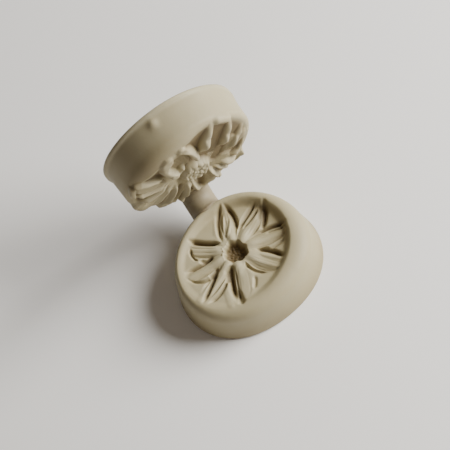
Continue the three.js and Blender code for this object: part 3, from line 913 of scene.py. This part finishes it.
@dataclass
class RecessHalf(CastHalf):
    """The lower half, with a dish that holds the pressed flower."""

    land: float = 8.3
    dish: Outline = Outline(11.2, ((1, -0.3, 0.1), (2, -0.65, -0.65)))
    back: Outline = Outline(14.4, ((1, -0.7, -1.1), (2, -0.75, -0.4), (3, 0.3, 0.2)))
    rim_rise: float = 0.85
    rim_lean: float = 0.65
    rim_high_side: float = math.radians(295.5)
    dish_slope: float = 1.7
    slope_lean: float = 0.3
    shoulder_share: float = 0.64
    shoulder_lean: float = 0.2
    shoulder_narrow_side: float = math.radians(-10)
    shoulder_height: float = 2.6
    shoulder_power: float = 2.2
    back_edge: float = 0.6
    # Painted shade at the foot of the dish's slope on the rim's high side.
    foot_shade: float = 0.3
    # Painted shade on the outer wall, darker towards the back.
    low_shade: float = 0.3
    low_from: float = 0.5
    low_to: float = 1.8

    EDGE_SHARE = 0.14  # share of the wall's rings that round the back edge
    WALL_SHARE = 0.5  # share of them up to the shoulder
    RIM_FADE = (0.3, 2.0)
    PRESSED_RANGE = (-0.5, 1.5)
    FOOT_IN = (0.2, 1.2)
    FOOT_OUT = (2.0, 5.0)

    def rise(self, angle: Number) -> Number:
        """Height of the rim over the floor of the dish."""
        return self.rim_rise + self.rim_lean * np.cos(angle - self.rim_high_side)

    def sloped(self, angle: Number, outside: Number) -> Number:
        """Height of the slope over the floor of the dish, at a distance outside the rim."""
        slope = self.dish_slope + self.slope_lean * np.cos(angle - self.rim_high_side)
        return self.rise(angle) * smooth(0.0, 1.0, 1 + outside / slope)

    def foot(self, angle: Number) -> Number:
        """Height over the back at which the wall meets the round shoulder outside the rim."""
        return self.land + self.rise(angle) - self.shoulder_height

    def shoulder(self, angle: Number) -> Number:
        """Finds where the wall meets the shoulder.

        Args:
            angle: Angle from the link's direction, in radians.

        Returns:
            The radius there.
        """
        rim = self.dish.radius(angle)
        share = self.shoulder_share - self.shoulder_lean * np.cos(angle - self.shoulder_narrow_side)
        return rim + share * (self.back.radius(angle) - rim)

    def over_shoulder(self, share: Number) -> Number:
        """Share of the shoulder's height that is left at a share of its width, or the reverse."""
        return (1 - np.clip(share, 0, 1) ** self.shoulder_power) ** (1 / self.shoulder_power)

    def straight_radius(self, angle: Number, level: Number) -> Number:
        """Radius of the straight wall under the shoulder, at a height over the back."""
        back = self.back.radius(angle)
        return back + (self.shoulder(angle) - back) * level / self.foot(angle)

    def wall_radius(self, angle: Number, level: Number) -> Number:
        """Finds the radius of the wall and the shoulder.

        Args:
            angle: Angle from the link's direction, in radians.
            level: Height over the back.

        Returns:
            The radius there.
        """
        foot = self.foot(angle)
        rim = self.dish.radius(angle)
        over = self.over_shoulder((level - foot) / self.shoulder_height)
        curved = rim + (self.shoulder(angle) - rim) * over
        return np.where(level < foot, self.straight_radius(angle, level), curved)

    def highest(self) -> float:
        """Height of the highest point of the rim over the back."""
        return self.land + self.rim_rise + self.rim_lean

    def plain_height(self, x: Array, y: Array) -> Array:
        """Works out the height of the unpressed dish, the rim and the shoulder over the back.

        Args:
            x: Distances towards the link.
            y: Distances to the left of that.

        Returns:
            The height at each point.
        """
        angle = np.arctan2(y, x)
        rim = self.dish.radius(angle)
        outside = np.hypot(x, y) - rim
        dish = self.land + self.sloped(angle, outside)
        over = self.over_shoulder(outside / (self.shoulder(angle) - rim))
        shoulder = self.land + self.rise(angle) - self.shoulder_height * (1 - over)
        return np.where(outside < 0, dish + self.flower.roots(x, y), shoulder)

    def on_wall(self, angle: Array, share: Array) -> Pair:
        """Places points of the wall.

        Args:
            angle: Their angles from the link's direction.
            share: Where they lie between the back at 0 and the rim at 1.

        Returns:
            Radius and height of each point.
        """
        rim = self.dish.radius(angle)
        foot = self.foot(angle)
        turn = quarter(0.0, self.EDGE_SHARE, share)
        climbed = part(self.EDGE_SHARE, self.WALL_SHARE, share)
        level = np.where(
            share < self.EDGE_SHARE,
            self.back_edge * (1 - np.cos(turn)),
            self.back_edge + (foot - self.back_edge) * climbed,
        )
        radius = self.straight_radius(angle, level) - self.back_edge * (1 - np.sin(turn))
        over = quarter(self.WALL_SHARE, 1.0, share)
        power = 2 / self.shoulder_power
        across = (self.shoulder(angle) - rim) * np.maximum(np.cos(over), 0.0) ** power
        above = foot + self.shoulder_height * np.sin(over) ** power
        radius = np.where(share > self.WALL_SHARE, rim + across, radius)
        return radius, np.where(share > self.WALL_SHARE, above, level)

    def face_edge(self, angle: Array) -> Array:
        """Radius of the rim."""
        return self.dish.radius(angle)

    def face_height(self, angle: Array, radius: Array) -> Array:
        """Height of the dish over the back, with the flower pressed into it."""
        pressed = self.flower.pressed(*flat(angle, radius))
        return self.land + self.sloped(angle, radius - self.dish.radius(angle)) - pressed

    def painted_face_shading(self, angle: Array, radius: Array) -> Array:
        """Works out the painted shade in the dish's hollows, and the painted shade at the foot of
        its high side, where the rim casts shadow.

        Args:
            angle: Angles of the points from the link's direction.
            radius: Their distances from the flower axis.

        Returns:
            The share of the painted shade colour at each point.
        """
        pressed = self.flower.pressed(*flat(angle, radius))
        within = self.dish.radius(angle) - radius
        hollow_shade = smooth(*self.PRESSED_RANGE, pressed) - PLAIN_SHADE
        # Painted shade under the rim, strongest on its high side.
        high = 0.5 + 0.5 * np.cos(angle - self.rim_high_side)
        foot = self.foot_shade * high * smooth(*self.FOOT_IN, within)
        foot = foot * (1 - smooth(*self.FOOT_OUT, within))
        return PLAIN_SHADE + smooth(*self.RIM_FADE, within) * hollow_shade + foot

    def wall_shade(self, angle: Array, level: Array) -> Array:
        """How much shade is painted on the wall, darker towards the back."""
        return self.low_shade * (1 - smooth(self.low_from, self.land - self.low_to, level))


@dataclass
class ReliefHalf(CastHalf):
    """The upper half, with the raised flower."""

    mate: RecessHalf = field(kw_only=True)
    closing_gap: float = 0.65
    own_land: float = 7.3
    clear: float = 0.12
    heart_rise: float = 1.3
    back: Outline = Outline(13.7, ((1, -1.15, -0.7), (3, 0.1, -0.25)))
    draft: float = 0.5
    edge: float = 1.0
    brim_edge: float = 2.3
    brim_rise: float = 1.1
    brim_width: float = 4.0
    brim_side: float = math.radians(160)
    brim_span: float = math.radians(34)
    link_clear: tuple[float, float] = (math.radians(16), math.radians(34))
    link_room: float = 0.5
    hang: float = 1.1
    hang_side: float = math.radians(-92)
    hang_span: float = math.radians(50)
    lip_reach: float = 0.45
    lip_height: float = 0.9
    lip_side: float = math.radians(120)
    back_round: float = 1.4
    back_drawn: float = 0.35
    back_wide: float = 0.6
    flare: float = 0.6
    flare_side: float = math.radians(-112)
    flare_span: float = math.radians(40)
    # Painted shade on the wall under the flower.
    foot_shade: float = 0.4
    foot_side: float = math.radians(142)
    foot_span: float = math.radians(32)
    knob_side: float = math.radians(171)
    knob_level: float = 2.1
    knob_rise: float = 0.4
    knob_width: float = 0.95
    # Painted shade in the valleys and painted highlight on the raised flower.
    valley_shade: float = 1.1
    raised_shade: float = 0.9

    EASE = 9.0
    LIP_EDGE = (-0.3, 0.5)
    FLARE_RISE = (0.3, 1.0)
    WALL_SHARE = 0.6  # share of the wall's rings under the round edge
    WALL_POWER = 1.3
    CARRY_TURN = 1.1
    LINK_NEAR = (10.2, 11.0)
    LINK_BESIDE = (3.5, 4.7)
    PETAL_EDGE = (-0.3, 0.6)
    PETAL_ROOT = (0.8, 1.5)
    CUT_CLEAR = 0.7
    HEART_EDGE = (2.4, 3.6)
    HEART_OUT = (1.5, 4.0)
    GRAIN_GAIN = 1.3
    RIM_FADE = (-0.1, 1.1)
    RAISED_RANGE = (-0.6, 1.3)
    SHADE_FROM = 0.6
    LIP_FADE = 1.5

    def away(self, angle: Number, side: float) -> Number:
        """Angle between two directions."""
        return np.abs((angle - side + math.pi) % (2 * math.pi) - math.pi)

    def beside_link(self, angle: Number) -> Number:
        """Share that is 0 at the link and 1 well beside it."""
        return smooth(*self.link_clear, self.away(angle, 0.0))

    def brim(self, angle: Number) -> Number:
        """How much higher the edge of the wall stands on the side away from the link."""
        return self.brim_rise * ridge(self.away(angle, self.brim_side), self.brim_span, 4)

    def overhang(self, angle: Number) -> Number:
        """How much more the petals swell past the wall on the side where they hang over it."""
        return 1 + self.hang * ridge(self.away(angle, self.hang_side), self.hang_span, 4)

    def edge_round(self, angle: Number) -> Number:
        """Radius of the round edge, which is softer where the brim is high."""
        return self.edge + (self.brim_edge - self.edge) * self.brim(angle) / self.brim_rise

    def wall_radius(self, angle: Number, level: Number) -> Number:
        """Finds the radius of the wall under its round edge.

        Args:
            angle: Angle from the link's direction, in radians.
            level: Height over the back.

        Returns:
            The radius there.
        """
        side = smooth(*self.LIP_EDGE, np.cos(angle - self.lip_side))
        lip = side * self.lip_reach * (1 - smooth(0.5 * self.lip_height, self.lip_height, level))
        drawn = (1 - side) * self.back_drawn * np.clip(1 - level / self.back_round, 0, 1) ** 2
        wide = (1 - side) * self.back_wide * (1 - level / self.own_land)
        flare = self.flare * smooth(*self.FLARE_RISE, level / self.own_land)
        flare = flare * ridge(self.away(angle, self.flare_side), self.flare_span)
        plain = self.back.radius(angle) - self.draft * level / self.own_land
        aside = self.away(angle, self.knob_side) * plain
        knob = self.knob_rise * ridge(np.hypot(aside, level - self.knob_level), self.knob_width)
        return plain + (lip - drawn + (wide + flare) * self.beside_link(angle)) + knob

    def on_wall(self, angle: Array, share: Array) -> Pair:
        """Places points of the wall and of the round edge that carries the petals' ends.

        Args:
            angle: Their angles from the link's direction.
            share: Where they lie between the back at 0 and the face at 1.

        Returns:
            Radius and height of each point.
        """
        edge = self.edge_round(angle)
        foot = self.own_land + self.brim(angle) - edge
        over = quarter(self.WALL_SHARE, 1.0, share)
        straight = foot * (share / self.WALL_SHARE) ** self.WALL_POWER
        level = np.where(share < self.WALL_SHARE, straight, foot + edge * np.sin(over))
        radius = self.wall_radius(angle, level) - edge * (1 - np.cos(over))
        carried = self.raised(*flat(angle, radius)) * smooth(0.0, self.CARRY_TURN, over)
        carried = carried * self.beside_link(angle) * self.overhang(angle)
        radius = radius + carried * np.cos(over)
        free = self.own_land + self.room(*flat(angle, radius))
        return radius, np.minimum(level + carried * np.sin(over), free)

    def face_edge(self, angle: Array) -> Array:
        """Radius at which the face meets the round edge of the wall."""
        return self.wall_radius(angle, self.own_land + self.brim(angle)) - self.edge_round(angle)

    def face_height(self, angle: Array, radius: Array) -> Array:
        """Height of the brim and the raised flower over the back."""
        raised = self.raised(*flat(angle, radius))
        return self.own_land + self.brim_share(angle, radius) + raised

    def brim_share(self, angle: Array, radius: Array) -> Array:
        """Height of the brim over the land at points of the face."""
        return self.brim(angle) * smooth(-self.brim_width, 0.0, radius - self.face_edge(angle))

    def full_room(self) -> float:
        """Height over the land that is free over the floor of the dish."""
        return self.closing_gap - self.clear + self.mate.highest() - self.mate.land

    def room(self, x: Array, y: Array) -> Array:
        """Works out what the closed recess half and the root of the link leave free.

        Args:
            x: Distances towards the link.
            y: Distances to the left of that.

        Returns:
            The free height over the land at each point.
        """
        free = self.closing_gap - self.clear + self.mate.highest() - self.mate.plain_height(x, y)
        near = smooth(*self.LINK_NEAR, x) * (1 - smooth(*self.LINK_BESIDE, np.abs(y)))
        return free - near * np.maximum(free - self.link_room, 0)

    def raised(self, x: Array, y: Array) -> Array:
        """Works out the height of the raised flower over the land.

        Args:
            x: Distances towards the link.
            y: Distances to the left of that.

        Returns:
            The height at each point, eased into the room that is free there.
        """
        floors = []
        for petal in self.flower.petals:
            along, _, _, inside = petal.place(x, y)
            shape = smooth(*self.PETAL_EDGE, inside) * petal.growth(along, *self.PETAL_ROOT)
            floors.append(shape * (petal.deep + self.flower.vein_amount(petal, x, y)))
        floors = np.max([*floors, 0 * x], axis=0) + np.min([*floors, 0 * x], axis=0)
        free = self.room(x, y) - self.brim_share(np.arctan2(y, x), np.hypot(x, y))
        beads, cuts = self.flower.drawn(x, y)
        beads = beads * np.sqrt(np.clip(free / self.full_room(), 0, 1))
        base = floors - cuts * (1 - np.clip(beads / self.CUT_CLEAR, 0, 1))
        out = np.hypot(x - self.flower.heart[0], y - self.flower.heart[1])
        heart = self.heart_rise * (1 - smooth(*self.HEART_EDGE, out))
        heart = heart + self.GRAIN_GAIN * self.flower.grain(x, y)
        base = np.maximum(base, base * smooth(*self.HEART_OUT, out) + heart)
        shared = self.flower.SHARED * np.clip(np.minimum(base, beads), 0, 1)
        full = np.maximum(base, beads) + shared
        return -np.logaddexp(-self.EASE * full, -self.EASE * free) / self.EASE

    def painted_face_shading(self, angle: Array, radius: Array) -> Array:
        """Works out the painted shade on the face: dark in the valleys round the heart, light on
        the raised flower.

        Args:
            angle: Angles of the points from the link's direction.
            radius: Their distances from the flower axis.

        Returns:
            The share of the painted shade colour at each point.
        """
        raised = self.raised(*flat(angle, radius))
        inside = smooth(*self.RIM_FADE, self.face_edge(angle) - radius)
        hollow_shade = self.valley_shade - self.raised_shade * smooth(*self.RAISED_RANGE, raised)
        return PLAIN_SHADE + inside * (hollow_shade - PLAIN_SHADE)

    def wall_shade(self, angle: Array, level: Array) -> Array:
        """Works out the painted shade on the wall under the flower, and the painted highlight on
        its lip.

        Args:
            angle: Angles of the points from the link's direction.
            level: Their heights over the back.

        Returns:
            What is added to the share of the painted shade colour.
        """
        near = smooth(self.SHADE_FROM * self.own_land, self.own_land, level)
        dark = self.foot_shade * near * ridge(self.away(angle, self.foot_side), self.foot_span)
        # Painted highlight on the lip.
        lip = 1 - smooth(self.lip_height, self.LIP_FADE * self.lip_height, level)
        return dark - PLAIN_SHADE * lip


@dataclass
class Link:
    """The cast rod between the halves, in two pieces that meet at its middle."""

    finish: Silicone
    recess: RecessHalf
    relief: ReliefHalf
    diameter: float = 6.2
    below_rim: float = 0.25
    below_land: float = 0.05
    side: float = -0.3
    fold: float = math.radians(99)
    sunk: float = 1.4
    flare: float = 0.45
    flare_length: float = 0.45
    hidden_taper: float = 0.3
    taper_from: float = 0.3
    # Painted shade along the rod, darker in the creases at its roots.
    shade: float = 0.35
    root_shade: float = 0.25
    root_length: float = 0.8
    segments: int = 72
    end_cuts: int = 4
    length_cuts: int = 40
    recess_level: float = field(init=False)
    relief_level: float = field(init=False)
    reach: float = field(init=False)
    spacing: float = field(init=False)
    bend_radius: float = field(init=False)

    REACH_ROUNDS = 8

    def __post_init__(self) -> None:
        """Works out the bends from the halves."""
        radius = self.diameter / 2
        rim = self.recess.land + float(self.recess.rise(0.0))
        self.recess_level = rim - self.below_rim - radius
        self.relief_level = self.relief.own_land - self.below_land - radius
        self.reach = max(
            float(self.recess.wall_radius(0.0, self.recess_level)),
            float(self.relief.wall_radius(0.0, self.relief_level)),
        )
        closed = self.recess.highest() + self.relief.own_land + self.relief.closing_gap
        self.spacing = closed - self.recess_level - self.relief_level
        self.bend_radius = self.spacing / (2 * math.sin(self.fold / 2))

    def wall_reach(
        self, wall: Callable[[Number, Number], Number], side: Array, level: Array
    ) -> Array:
        """Finds how far a half's wall is beside the rod's own line.

        Args:
            wall: Gives the radius of the half's wall at an angle and a height.
            side: Distances beside the line through the flower axis.
            level: Heights over the half's back.

        Returns:
            Distance from the flower axis along the rod at each point.
        """
        reach = np.full(side.shape, self.reach)
        for _ in range(self.REACH_ROUNDS):
            radius = wall(np.arctan2(side, reach), level)
            reach = np.sqrt(radius**2 - side**2)
        return reach

    def point(self, along: Array, up: Array, side: Array) -> Array:
        """Bends points of the straight rod into its arc.

        Args:
            along: Distance from the near bend along the rod.
            up: Height over the rod's line.
            side: Distance beside the rod's line.

        Returns:
            Places in the object's frame, in millimetres.
        """
        turned = np.clip(along / self.bend_radius, 0, self.fold)
        past = along - turned * self.bend_radius
        inward = self.bend_radius - up
        raised = self.bend_radius - inward * np.cos(turned) + past * np.sin(turned)
        return np.stack(
            (
                self.reach + inward * np.sin(turned) + past * np.cos(turned),
                self.side + side,
                self.recess_level + raised,
            ),
            axis=1,
        )

    def piece(
        self, name: str, first: float, last: float, material: bpy.types.Material
    ) -> bpy.types.Object:
        """Makes the part of the rod between two shares of its length.

        Args:
            name: Name of the piece.
            first: Share at which it starts.
            last: Share at which it ends.
            material: Its finish.

        Returns:
            The piece, which no body moves yet.
        """
        puck = turned_puck(self.segments, self.end_cuts, self.length_cuts, self.end_cuts)
        made = shown(name, puck, material)
        mesh = made.data
        place = plain_places(mesh)
        radius = self.diameter / 2
        up = radius * place[:, 0]
        side = radius * place[:, 1]
        share = first + (last - first) * place[:, 2]
        aside = self.side + side
        near = self.wall_reach(self.recess.wall_radius, aside, self.recess_level + up)
        far = self.wall_reach(self.relief.wall_radius, aside, self.relief_level + up)
        start = near - self.reach - self.sunk
        end = self.bend_radius * self.fold - (far - self.reach) + self.sunk
        along = start + share * (end - start)
        wall_gap = np.minimum(along - start, end - along) - self.sunk
        shown_gap = np.maximum(wall_gap, 0.0)
        flare = 1 + self.flare / radius * np.exp(-shown_gap / self.flare_length)
        flare = flare * (1 - self.hidden_taper * smooth(self.taper_from, self.sunk, -wall_gap))
        # Painted shade, darker where the rod meets the walls.
        hollow_shade = self.shade + self.root_shade * np.exp(-shown_gap / self.root_length)
        move(mesh, self.point(along, up * flare, side * flare), hollow_shade)
        shape = bmesh.new()
        shape.from_mesh(mesh)
        bmesh.ops.recalc_face_normals(shape, faces=shape.faces)
        shape.to_mesh(mesh)
        shape.free()
        mesh.update()
        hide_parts("link_rod")
        LOG.info("%s: %d faces", name, len(mesh.polygons))
        return made

    def bend_band(self, turned: float, side: float) -> tuple[Vector, Vector]:
        """Start and end of the band that bends, square to the rod where a hinge crosses it.

        Args:
            turned: Angle of the arc at that hinge, 0 at the near one and the fold at the far one.
            side: 1 where the rod's middle lies after the hinge, -1 where it lies before it.

        Returns:
            The two points, in metres.
        """
        middle = Vector(
            (
                self.reach + self.bend_radius * math.sin(turned),
                self.side,
                self.recess_level + self.bend_radius * (1 - math.cos(turned)),
            )
        )
        along = Vector((math.cos(turned), 0, math.sin(turned)))
        inner = (self.bend_radius - self.diameter / 2) * math.sin(self.fold / 2)
        before, after = (self.sunk, inner) if side > 0 else (inner, self.sunk)
        return (middle - along * before) * MM, (middle + along * after) * MM

    def build(self) -> None:
        """Makes both pieces of the rod and bakes them in place."""
        material = self.finish.build()
        near = self.piece("link_lower_bend", 0.0, 0.5, material)
        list(self.bend_band(0.0, 1))
        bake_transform(near)
        far = self.piece("link_upper_bend", 0.5, 1.0, material)
        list(self.bend_band(self.fold, -1))
        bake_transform(far)

    def relief_place(self) -> Matrix:
        """Finds where the relief half stands, half folded over the recess half.

        Returns:
            What turns the half's own frame, in metres, into the object's frame.
        """
        chord = Vector((math.cos(self.fold / 2), 0, math.sin(self.fold / 2)))
        outward = Vector((math.cos(self.fold), 0, math.sin(self.fold)))
        upward = Vector((-math.sin(self.fold), 0, math.cos(self.fold)))
        hinge = Vector((self.reach, 0, self.recess_level)) + chord * self.spacing
        centre = hinge + outward * self.reach - upward * self.relief_level
        return Matrix.Translation(centre * MM) @ Matrix.Rotation(-self.fold, 4, "Y")


@dataclass(frozen=True)
class Lamp:
    """One soft round light that faces the object, placed in metres from its middle."""

    name: str
    place: tuple[float, float, float]
    size: float
    power: float
    color: Color

    MIDDLE = (0.004, 0.0, 0.014)

    def build(self) -> None:
        """Adds the light to the scene."""
        data = bpy.data.lights.new(self.name, "AREA")
        data.shape = "DISK"
        data.size = self.size
        data.energy = self.power
        data.color = self.color
        made = bpy.data.objects.new(self.name, data)
        bpy.context.scene.collection.objects.link(made)
        made.location = Vector(self.MIDDLE) + Vector(self.place)
        made.rotation_euler = (-Vector(self.place)).to_track_quat("-Z", "Y").to_euler()


@dataclass
class Studio:
    """Pale floor, soft lights and the camera at the photograph's angle."""

    aim: Vector = Vector((-0.665, -1.112, 9.807))
    right: Vector = Vector((-0.516, -0.839, -0.172))
    up: Vector = Vector((0.720, -0.534, 0.443))
    back: Vector = Vector((-0.464, 0.104, 0.880))
    distance: float = 333.8
    focal: float = 1752.6
    frame: float = 450.0
    aim_pixel: Point = (240.62, 247.30)
    sensor: float = 36.0
    clip: Point = (0.01, 20.0)
    floor_size: float = 12.0
    lamps: tuple[Lamp, ...] = (
        Lamp("key", (-0.09, -0.38, 0.235), 0.34, 5.6, (1.0, 0.985, 0.95)),
        Lamp("fill", (-0.35, 0.20, 0.25), 0.30, 0.16, (1.0, 0.78, 0.6)),
    )
    air: Color = (1.0, 0.9, 0.8)
    air_power: float = 0.11

    def camera(self) -> None:
        """Places the camera where the photograph was taken from."""
        data = bpy.data.cameras.new("photo_view")
        made = bpy.data.objects.new("photo_view", data)
        bpy.context.scene.collection.objects.link(made)
        aside = self.aim_pixel[0] - self.frame / 2
        above = self.aim_pixel[1] - self.frame / 2
        forward = (-self.back * self.focal - self.right * aside + self.up * above).normalized()
        right = self.up.cross(-forward).normalized()
        up = (-forward).cross(right)
        turn = Matrix((right, up, -forward)).transposed().to_4x4()
        made.matrix_world = Matrix.Translation((self.aim + self.back * self.distance) * MM) @ turn
        data.sensor_width = self.sensor
        data.lens = self.focal * self.sensor / self.frame
        data.clip_start, data.clip_end = self.clip
        bpy.context.scene.camera = made

    def floor(self) -> None:
        """Lays the floor under the object."""
        shape = bmesh.new()
        bmesh.ops.create_grid(shape, x_segments=1, y_segments=1, size=self.floor_size)
        made = shown("floor", shape, Backdrop().build())

    def build(self) -> None:
        """Sets up the whole studio."""
        self.camera()
        self.floor()
        for lamp in self.lamps:
            lamp.build()
        world = bpy.data.worlds.new("studio_air")
        world.use_nodes = True
        inputs = world.node_tree.nodes["Background"].inputs
        inputs["Color"].default_value = (*self.air, 1.0)
        inputs["Strength"].default_value = self.air_power
        bpy.context.scene.world = world


def main() -> None:
    """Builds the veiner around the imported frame."""
    logging.basicConfig(level=logging.INFO, format="%(name)s: %(message)s")
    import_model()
    Studio().build()
    # One silicone in three copies: the link's is darker as painted shade, where the rod lies in the
    # relief half's shadow, and the relief's has a slightly lighter crest as painted highlight.
    cream = Silicone(
        "cream_silicone_recess", (0.36, 0.31, 0.18), (0.13, 0.088, 0.036), (0.43, 0.385, 0.245)
    )
    bright = Silicone(
        "cream_silicone_relief", (0.36, 0.31, 0.185), (0.13, 0.088, 0.038), (0.44, 0.395, 0.26)
    )
    shaded = Silicone(
        "cream_silicone_link_painted_shade", (0.27, 0.226, 0.143), (0.125, 0.088, 0.043), (0.33, 0.285, 0.187)
    )
    recess = RecessHalf(
        name="recess_cast",
        node="recess_half",
        body="recess",
        slot="recess_silicone",
        side=Half.RECESS,
        flower=PRESSED_FLOWER,
        finish=cream,
    )
    relief = ReliefHalf(
        name="relief_cast",
        node="relief_half",
        body="relief",
        slot="relief_silicone",
        side=Half.RELIEF,
        flower=RAISED_FLOWER,
        finish=bright,
        mate=recess,
    )
    link = Link(shaded, recess, relief)
    recess.build(Matrix.Identity(4))
    relief.build(link.relief_place())
    link.build()


if __name__ == "__main__":
    main()
